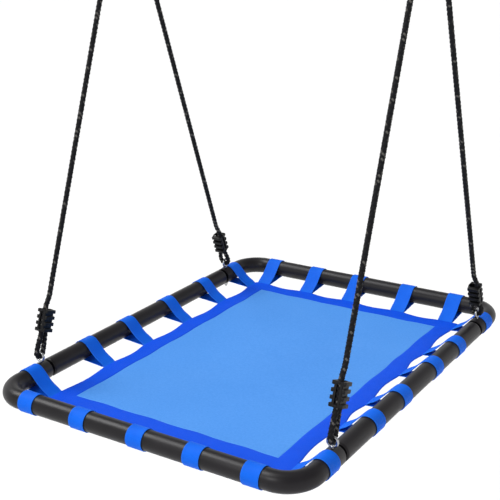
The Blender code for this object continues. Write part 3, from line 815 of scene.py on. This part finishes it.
def make_eyebolt(corner):
    side, end, _, turned = CORNERS[corner]
    x, y = side * SIDE_X, end * EYE_Y
    washer_top = FRAME_Z - TUBE_RADIUS - GAP
    washer_bottom = washer_top - WASHER_THICKNESS
    nut_top = washer_bottom - GAP
    nut_bottom = nut_top - NUT_THICKNESS
    bolt_end = nut_bottom - BOLT_TAIL
    bolt = Surface()
    flat = (0, 1) if turned else (1, 0)
    outline = arc((0, 0), EYE_RADIUS, 0, 360, 72)[:-1]
    circle = [Vector((x + a * flat[0], y + a * flat[1], EYE_Z + b)) for a, b in outline]
    wire(bolt, circle, EYE_WIRE, 22, Vector((flat[1], flat[0], 0)), loop=True)
    down = Vector((0, 0, -1))
    eye_foot = EYE_Z - EYE_RADIUS
    shank = [(eye_foot, 2.6 * MM), (eye_foot - 2 * MM, 3.6 * MM), (eye_foot - 3.2 * MM, 3.1 * MM)]
    shank.append((nut_bottom + THREAD_PITCH, BOLT_RADIUS))
    height = nut_bottom
    while height > bolt_end + THREAD_PITCH:
        shank += [(height, BOLT_RADIUS), (height - THREAD_PITCH / 2, BOLT_RADIUS - THREAD_DEPTH)]
        height -= THREAD_PITCH
    shank += [(bolt_end + 0.5 * MM, BOLT_RADIUS - 0.1 * MM), (bolt_end, BOLT_RADIUS - 0.6 * MM)]
    bolt.tube([(Vector((x, y, z)), down, radius) for z, radius in shank], 24, ACROSS)
    bolt.piece(f"steel_eyebolt_{corner}", [STEEL], "platform", [f"eyebolt_{corner}"], 50)

    washer = Surface()
    edge = 0.25 * MM
    profile = [(BOLT_RADIUS + GAP, washer_top), (WASHER_RADIUS - edge, washer_top)]
    profile += [(WASHER_RADIUS, washer_top - edge)]
    profile += [(WASHER_RADIUS, washer_bottom + edge), (WASHER_RADIUS - edge, washer_bottom)]
    profile += [(BOLT_RADIUS + GAP, washer_bottom)]
    stations = [(Vector((x, y, z)), down, radius) for radius, z in profile]
    washer.tube(stations, 40, ACROSS, caps=False, loop=True)
    washer.piece(f"steel_washer_{corner}", [STEEL], "platform", [f"washer_{corner}"])

    nut = Surface()
    apothem = NUT_ACROSS / 2
    rows = []
    turns = [2 * math.pi * j / 48 for j in range(48)]
    reaches = [apothem / math.cos((t % math.radians(60)) - math.radians(30)) for t in turns]
    for z, sign in ((nut_top, -1), (nut_bottom, 1)):
        ring = [(BOLT_RADIUS + GAP, z), (apothem * 0.96, z)]
        end_rows = []
        for radius, level in ring:
            end_rows.append([(radius * math.cos(t) + x, radius * math.sin(t) + y, level) for t in turns])
        slope = [
            (r * math.cos(t) + x, r * math.sin(t) + y, z + sign * (0.12 * MM + (r - apothem) * 0.6))
            for t, r in zip(turns, reaches)
        ]
        rows += [*end_rows, slope] if sign < 0 else [slope, *reversed(end_rows)]
    nut.grid(rows, list(range(49)), list(range(len(rows) + 1)), ring=True, loop=True)
    nut.piece(f"steel_nut_{corner}", [STEEL], "platform", [f"nut_{corner}"], 25)


for corner_name in CORNERS:
    make_eyebolt(corner_name)


# Seat


def scalloped_side(stops, half_length, half_width):
    """Pairs of outer and inner points along one edge of the binding, which pulls in between its straps."""
    half = STRAP_WIDTH / 2
    places = []
    for i, stop in enumerate(stops):
        places += [(stop - half + STRAP_WIDTH * k / STRAP_STEPS, 0) for k in range(STRAP_STEPS + 1)]
        if i + 1 == len(stops):
            break
        start, finish = stop + half, stops[i + 1] - half
        for k in range(1, SCALLOP_STEPS):
            share = k / SCALLOP_STEPS
            places.append((start + (finish - start) * share, math.sin(math.pi * share) ** 1.3))
    inner_length, inner_width = half_length - BINDING_BAND, half_width - BINDING_BAND
    pairs = []
    for along, pull in places:
        outer = (along, half_width - SCALLOP_DEPTH * pull)
        inner = (along * inner_length / half_length, inner_width - INNER_SCALLOP * SCALLOP_DEPTH * pull)
        pairs.append((outer, inner))
    return pairs


def corner_pairs():
    """Places round the binding's corner, from the end of its long side to the end of its short side."""
    centre = (BINDING_HALF_X - BINDING_CORNER, BINDING_HALF_Y - BINDING_CORNER)
    inner = (BINDING_HALF_X - BINDING_BAND, BINDING_HALF_Y - BINDING_BAND)
    return [(point, inner) for point in arc(centre, BINDING_CORNER, 0, 90, 4)]


def placed(pairs, sign_x, sign_y, swapped=False):
    """Pairs of points moved to one side or one corner of the mat."""
    moved = []
    for pair in pairs:
        turned = [(point[1], point[0]) if swapped else point for point in pair]
        moved.append([(x * sign_x, y * sign_y) for x, y in turned])
    return moved


def binding_pairs():
    """Outer and inner points of the binding, anticlockwise from the left end of its front."""
    front = placed(scalloped_side(STRAPS["front"], BINDING_HALF_X, BINDING_HALF_Y), 1, -1)
    right = placed(scalloped_side(STRAPS["right"], BINDING_HALF_Y, BINDING_HALF_X), 1, 1, swapped=True)
    back = placed(scalloped_side(STRAPS["back"], BINDING_HALF_X, BINDING_HALF_Y), 1, 1)
    left = placed(scalloped_side(STRAPS["left"], BINDING_HALF_Y, BINDING_HALF_X), -1, 1, swapped=True)
    corner = corner_pairs()
    whole = front + placed(corner[::-1], 1, -1) + right + placed(corner, 1, 1)
    return whole + back[::-1] + placed(corner[::-1], -1, 1) + left[::-1] + placed(corner, -1, -1)


def make_binding():
    """A tape folded round the mat's edge: thin inside, with a rolled outer edge."""
    pairs = binding_pairs()
    profile = [(0, 0.75), (0.02, 1.0), (0.25, 1.18), (0.6, 1.3), (0.93, 1.28), (0.975, 1.05), (0.993, 0.6)]
    section = profile + [(1.0, 0)] + [(share, -height) for share, height in reversed(profile)]
    rows, along, walked = [], [], 0
    for i, (outer, inner) in enumerate(pairs):
        walked += math.dist(outer, pairs[i - 1][0]) if i else 0
        along.append(walked)
        row = []
        for share, height in section:
            x = inner[0] + (outer[0] - inner[0]) * share
            y = inner[1] + (outer[1] - inner[1]) * share
            row.append((x, y, MAT_Z + height * BINDING_PLY))
        rows.append(row)
    along.append(walked + math.dist(pairs[0][0], pairs[-1][0]))
    across = [share * BINDING_BAND for share, _ in section] + [0]
    surface = Surface()
    surface.grid(rows, across, along, ring=True, loop=True)
    return surface.piece("tape_binding", [BINDING_WEBBING], "platform", ["mat_binding"], 70)


def make_mat(binding):
    """A stretched sheet whose edges lie in the binding, and which hangs a little lower in the middle."""
    half_x = BINDING_HALF_X - BINDING_BAND + MAT_UNDER_BINDING
    half_y = BINDING_HALF_Y - BINDING_BAND + MAT_UNDER_BINDING
    count_x, count_y = 48, 72
    across = [half_x * (2 * i / count_x - 1) for i in range(count_x + 1)]
    along = [half_y * (2 * i / count_y - 1) for i in range(count_y + 1)]

    def sag(x, y):
        hang = (1 - (x / half_x) ** 4) * (1 - (y / half_y) ** 4)
        ripple = math.sin(x * 31 + 1.3) * math.sin(y * 23 + 0.4)
        return -MAT_SAG * hang * (0.85 + 0.15 * ripple)

    surface = Surface()
    rows = [[(x, y, MAT_Z + sag(x, y)) for x in across] for y in along]
    surface.grid(rows, across, along)
    mat = surface.piece("woven_mat", [MAT_MESH], "platform", ["mat"], 80)
    ply = mat.modifiers.new("ply", "SOLIDIFY")
    ply.thickness = MAT_THICKNESS
    ply.offset = 0


def strap_line(edge_distance):
    """The strap's middle line across the tube: (distance inwards from the tube's axis, height above it)."""
    radius = TUBE_RADIUS + STRAP_CLEARANCE + STRAP_THICKNESS / 2
    level = MAT_Z - FRAME_Z
    top = Vector((edge_distance, level + STRAP_PLY_SPREAD))
    bottom = Vector((edge_distance, level - STRAP_PLY_SPREAD))
    start = math.degrees(math.atan2(top.y, top.x) + math.acos(radius / top.length))
    end = 360 + math.degrees(math.atan2(bottom.y, bottom.x) - math.acos(radius / bottom.length))
    loop = [Vector(point) for point in arc((0, 0), radius, start, end, 40)]
    tucked_top = Vector((edge_distance + STRAP_TUCK, level + STRAP_PLY_SPREAD / 3))
    tucked_bottom = Vector((edge_distance + STRAP_TUCK, level - STRAP_PLY_SPREAD / 3))
    straight_top = []
    for k in range(1, 8):
        hang = Vector((0, -STRAP_SLACK * math.sin(math.pi * k / 8) ** 2))
        straight_top.append(top.lerp(loop[0], k / 8) + hang)
    straight_bottom = [loop[-1].lerp(bottom, k / 4) for k in range(1, 4)]
    return [tucked_top, top, *straight_top, *loop, *straight_bottom, bottom, tucked_bottom]


def make_strap(name, line, place):
    half = STRAP_WIDTH / 2
    thick = STRAP_THICKNESS / 2
    upper = [(-half, 0), (-half + 0.2 * MM, 0.7), (-half + 0.8 * MM, 1), (-half + 2 * MM, 0.8), (0, 0.8)]
    upper += [(half - 2 * MM, 0.8), (half - 0.8 * MM, 1), (half - 0.2 * MM, 0.7), (half, 0)]
    lower = [(across, -height) for across, height in reversed(upper[1:-1])]
    section = upper + lower
    flat = [Vector((point.x, 0, point.y)) for point in line]
    ways = directions(flat)
    rows, along, walked = [], [], 0
    for i, (point, way) in enumerate(zip(flat, ways)):
        out = way.cross(Vector((0, 1, 0)))
        walked += (point - flat[i - 1]).length if i else 0
        along.append(walked)
        here = thick * (TUCKED_SHARE if i in (0, len(flat) - 1) else 1)
        rows.append([point + Vector((0, across, 0)) + out * height * here for across, height in section])
    surface = Surface()
    across = [a for a, _ in section] + [-half]
    first = surface.grid(rows, across, along, ring=True)
    surface.cap(first, len(section))
    surface.cap(first + (len(rows) - 1) * len(section), len(section))
    surface.piece(f"webbing_{name}", [STRAP_WEBBING], "platform", [name], 60, place)


def make_straps():
    side_line = strap_line(SIDE_X - BINDING_HALF_X)
    end_line = strap_line(END_Y - BINDING_HALF_Y)
    for name, side, turn in (("left", -1, 0), ("right", 1, 180)):
        facing = Matrix.Rotation(math.radians(turn), 4, "Z")
        for number, y in enumerate(STRAPS[name], 1):
            place = Matrix.Translation((side * SIDE_X, y, FRAME_Z)) @ facing
            make_strap(f"strap_{name}_{number}", side_line, place)
    for name, end, turn in (("front", -1, 90), ("back", 1, -90)):
        facing = Matrix.Rotation(math.radians(turn), 4, "Z")
        for number, x in enumerate(STRAPS[name], 1):
            place = Matrix.Translation((x, end * END_Y, FRAME_Z)) @ facing
            make_strap(f"strap_{name}_{number}", end_line, place)


make_mat(make_binding())
make_straps()


# Floor and light


def make_floor():
    mesh = bpy.data.meshes.new("floor")
    signs = ((-1, -1), (1, -1), (1, 1), (-1, 1))
    corners = [(x * FLOOR_REACH, y * FLOOR_REACH, FLOOR_Z) for x, y in signs]
    mesh.from_pydata(corners, [], [(0, 1, 2, 3)])
    look = Look("pale_floor", (0.95, 0.95, 0.95, 1), 0.9, specular=0.05)
    mesh.materials.append(look.material)
    floor = bpy.data.objects.new("floor", mesh)
    bpy.context.scene.collection.objects.link(floor)


def make_light(name, place, size, power):
    data = bpy.data.lights.new(name, "AREA")
    data.shape = "DISK"
    data.size = size
    data.energy = power
    light = bpy.data.objects.new(name, data)
    bpy.context.scene.collection.objects.link(light)
    light.location = Vector(place) + Vector((0, 0, FRAME_Z))
    aim = Vector((0, 0, FRAME_Z)) - light.location
    light.rotation_mode = "QUATERNION"
    light.rotation_quaternion = aim.to_track_quat("-Z", "Y")


def make_key(direction, width, strength):
    """A broad, soft light that is equally strong everywhere."""
    data = bpy.data.lights.new("key", "SUN")
    data.angle = math.radians(width)
    data.energy = strength
    light = bpy.data.objects.new("key", data)
    bpy.context.scene.collection.objects.link(light)
    light.rotation_mode = "QUATERNION"
    light.rotation_quaternion = (-Vector(direction)).to_track_quat("-Z", "Y")


def make_world():
    """White near the horizon, and dimmer overhead so that the key light shapes the tubes."""
    world = bpy.data.worlds.new("studio")
    world.use_nodes = True
    tree = world.node_tree
    background = tree.nodes["Background"]
    background.inputs["Color"].default_value = (1, 1, 1, 1)
    place = tree.nodes.new("ShaderNodeTexCoord")
    parts = tree.nodes.new("ShaderNodeSeparateXYZ")
    fade = tree.nodes.new("ShaderNodeMapRange")
    fade.inputs["From Min"].default_value = WORLD_FADE_START
    fade.inputs["From Max"].default_value = WORLD_FADE_END
    fade.inputs["To Min"].default_value = WORLD_HORIZON
    fade.inputs["To Max"].default_value = WORLD_OVERHEAD
    tree.links.new(place.outputs["Generated"], parts.inputs["Vector"])
    tree.links.new(parts.outputs["Z"], fade.inputs["Value"])
    tree.links.new(fade.outputs["Result"], background.inputs["Strength"])
    bpy.context.scene.world = world


make_floor()
make_key(KEY_DIRECTION, KEY_WIDTH, KEY_STRENGTH)
make_light("front", FRONT_LIGHT_PLACE, FRONT_LIGHT_SIZE, FRONT_LIGHT_POWER)
make_world()
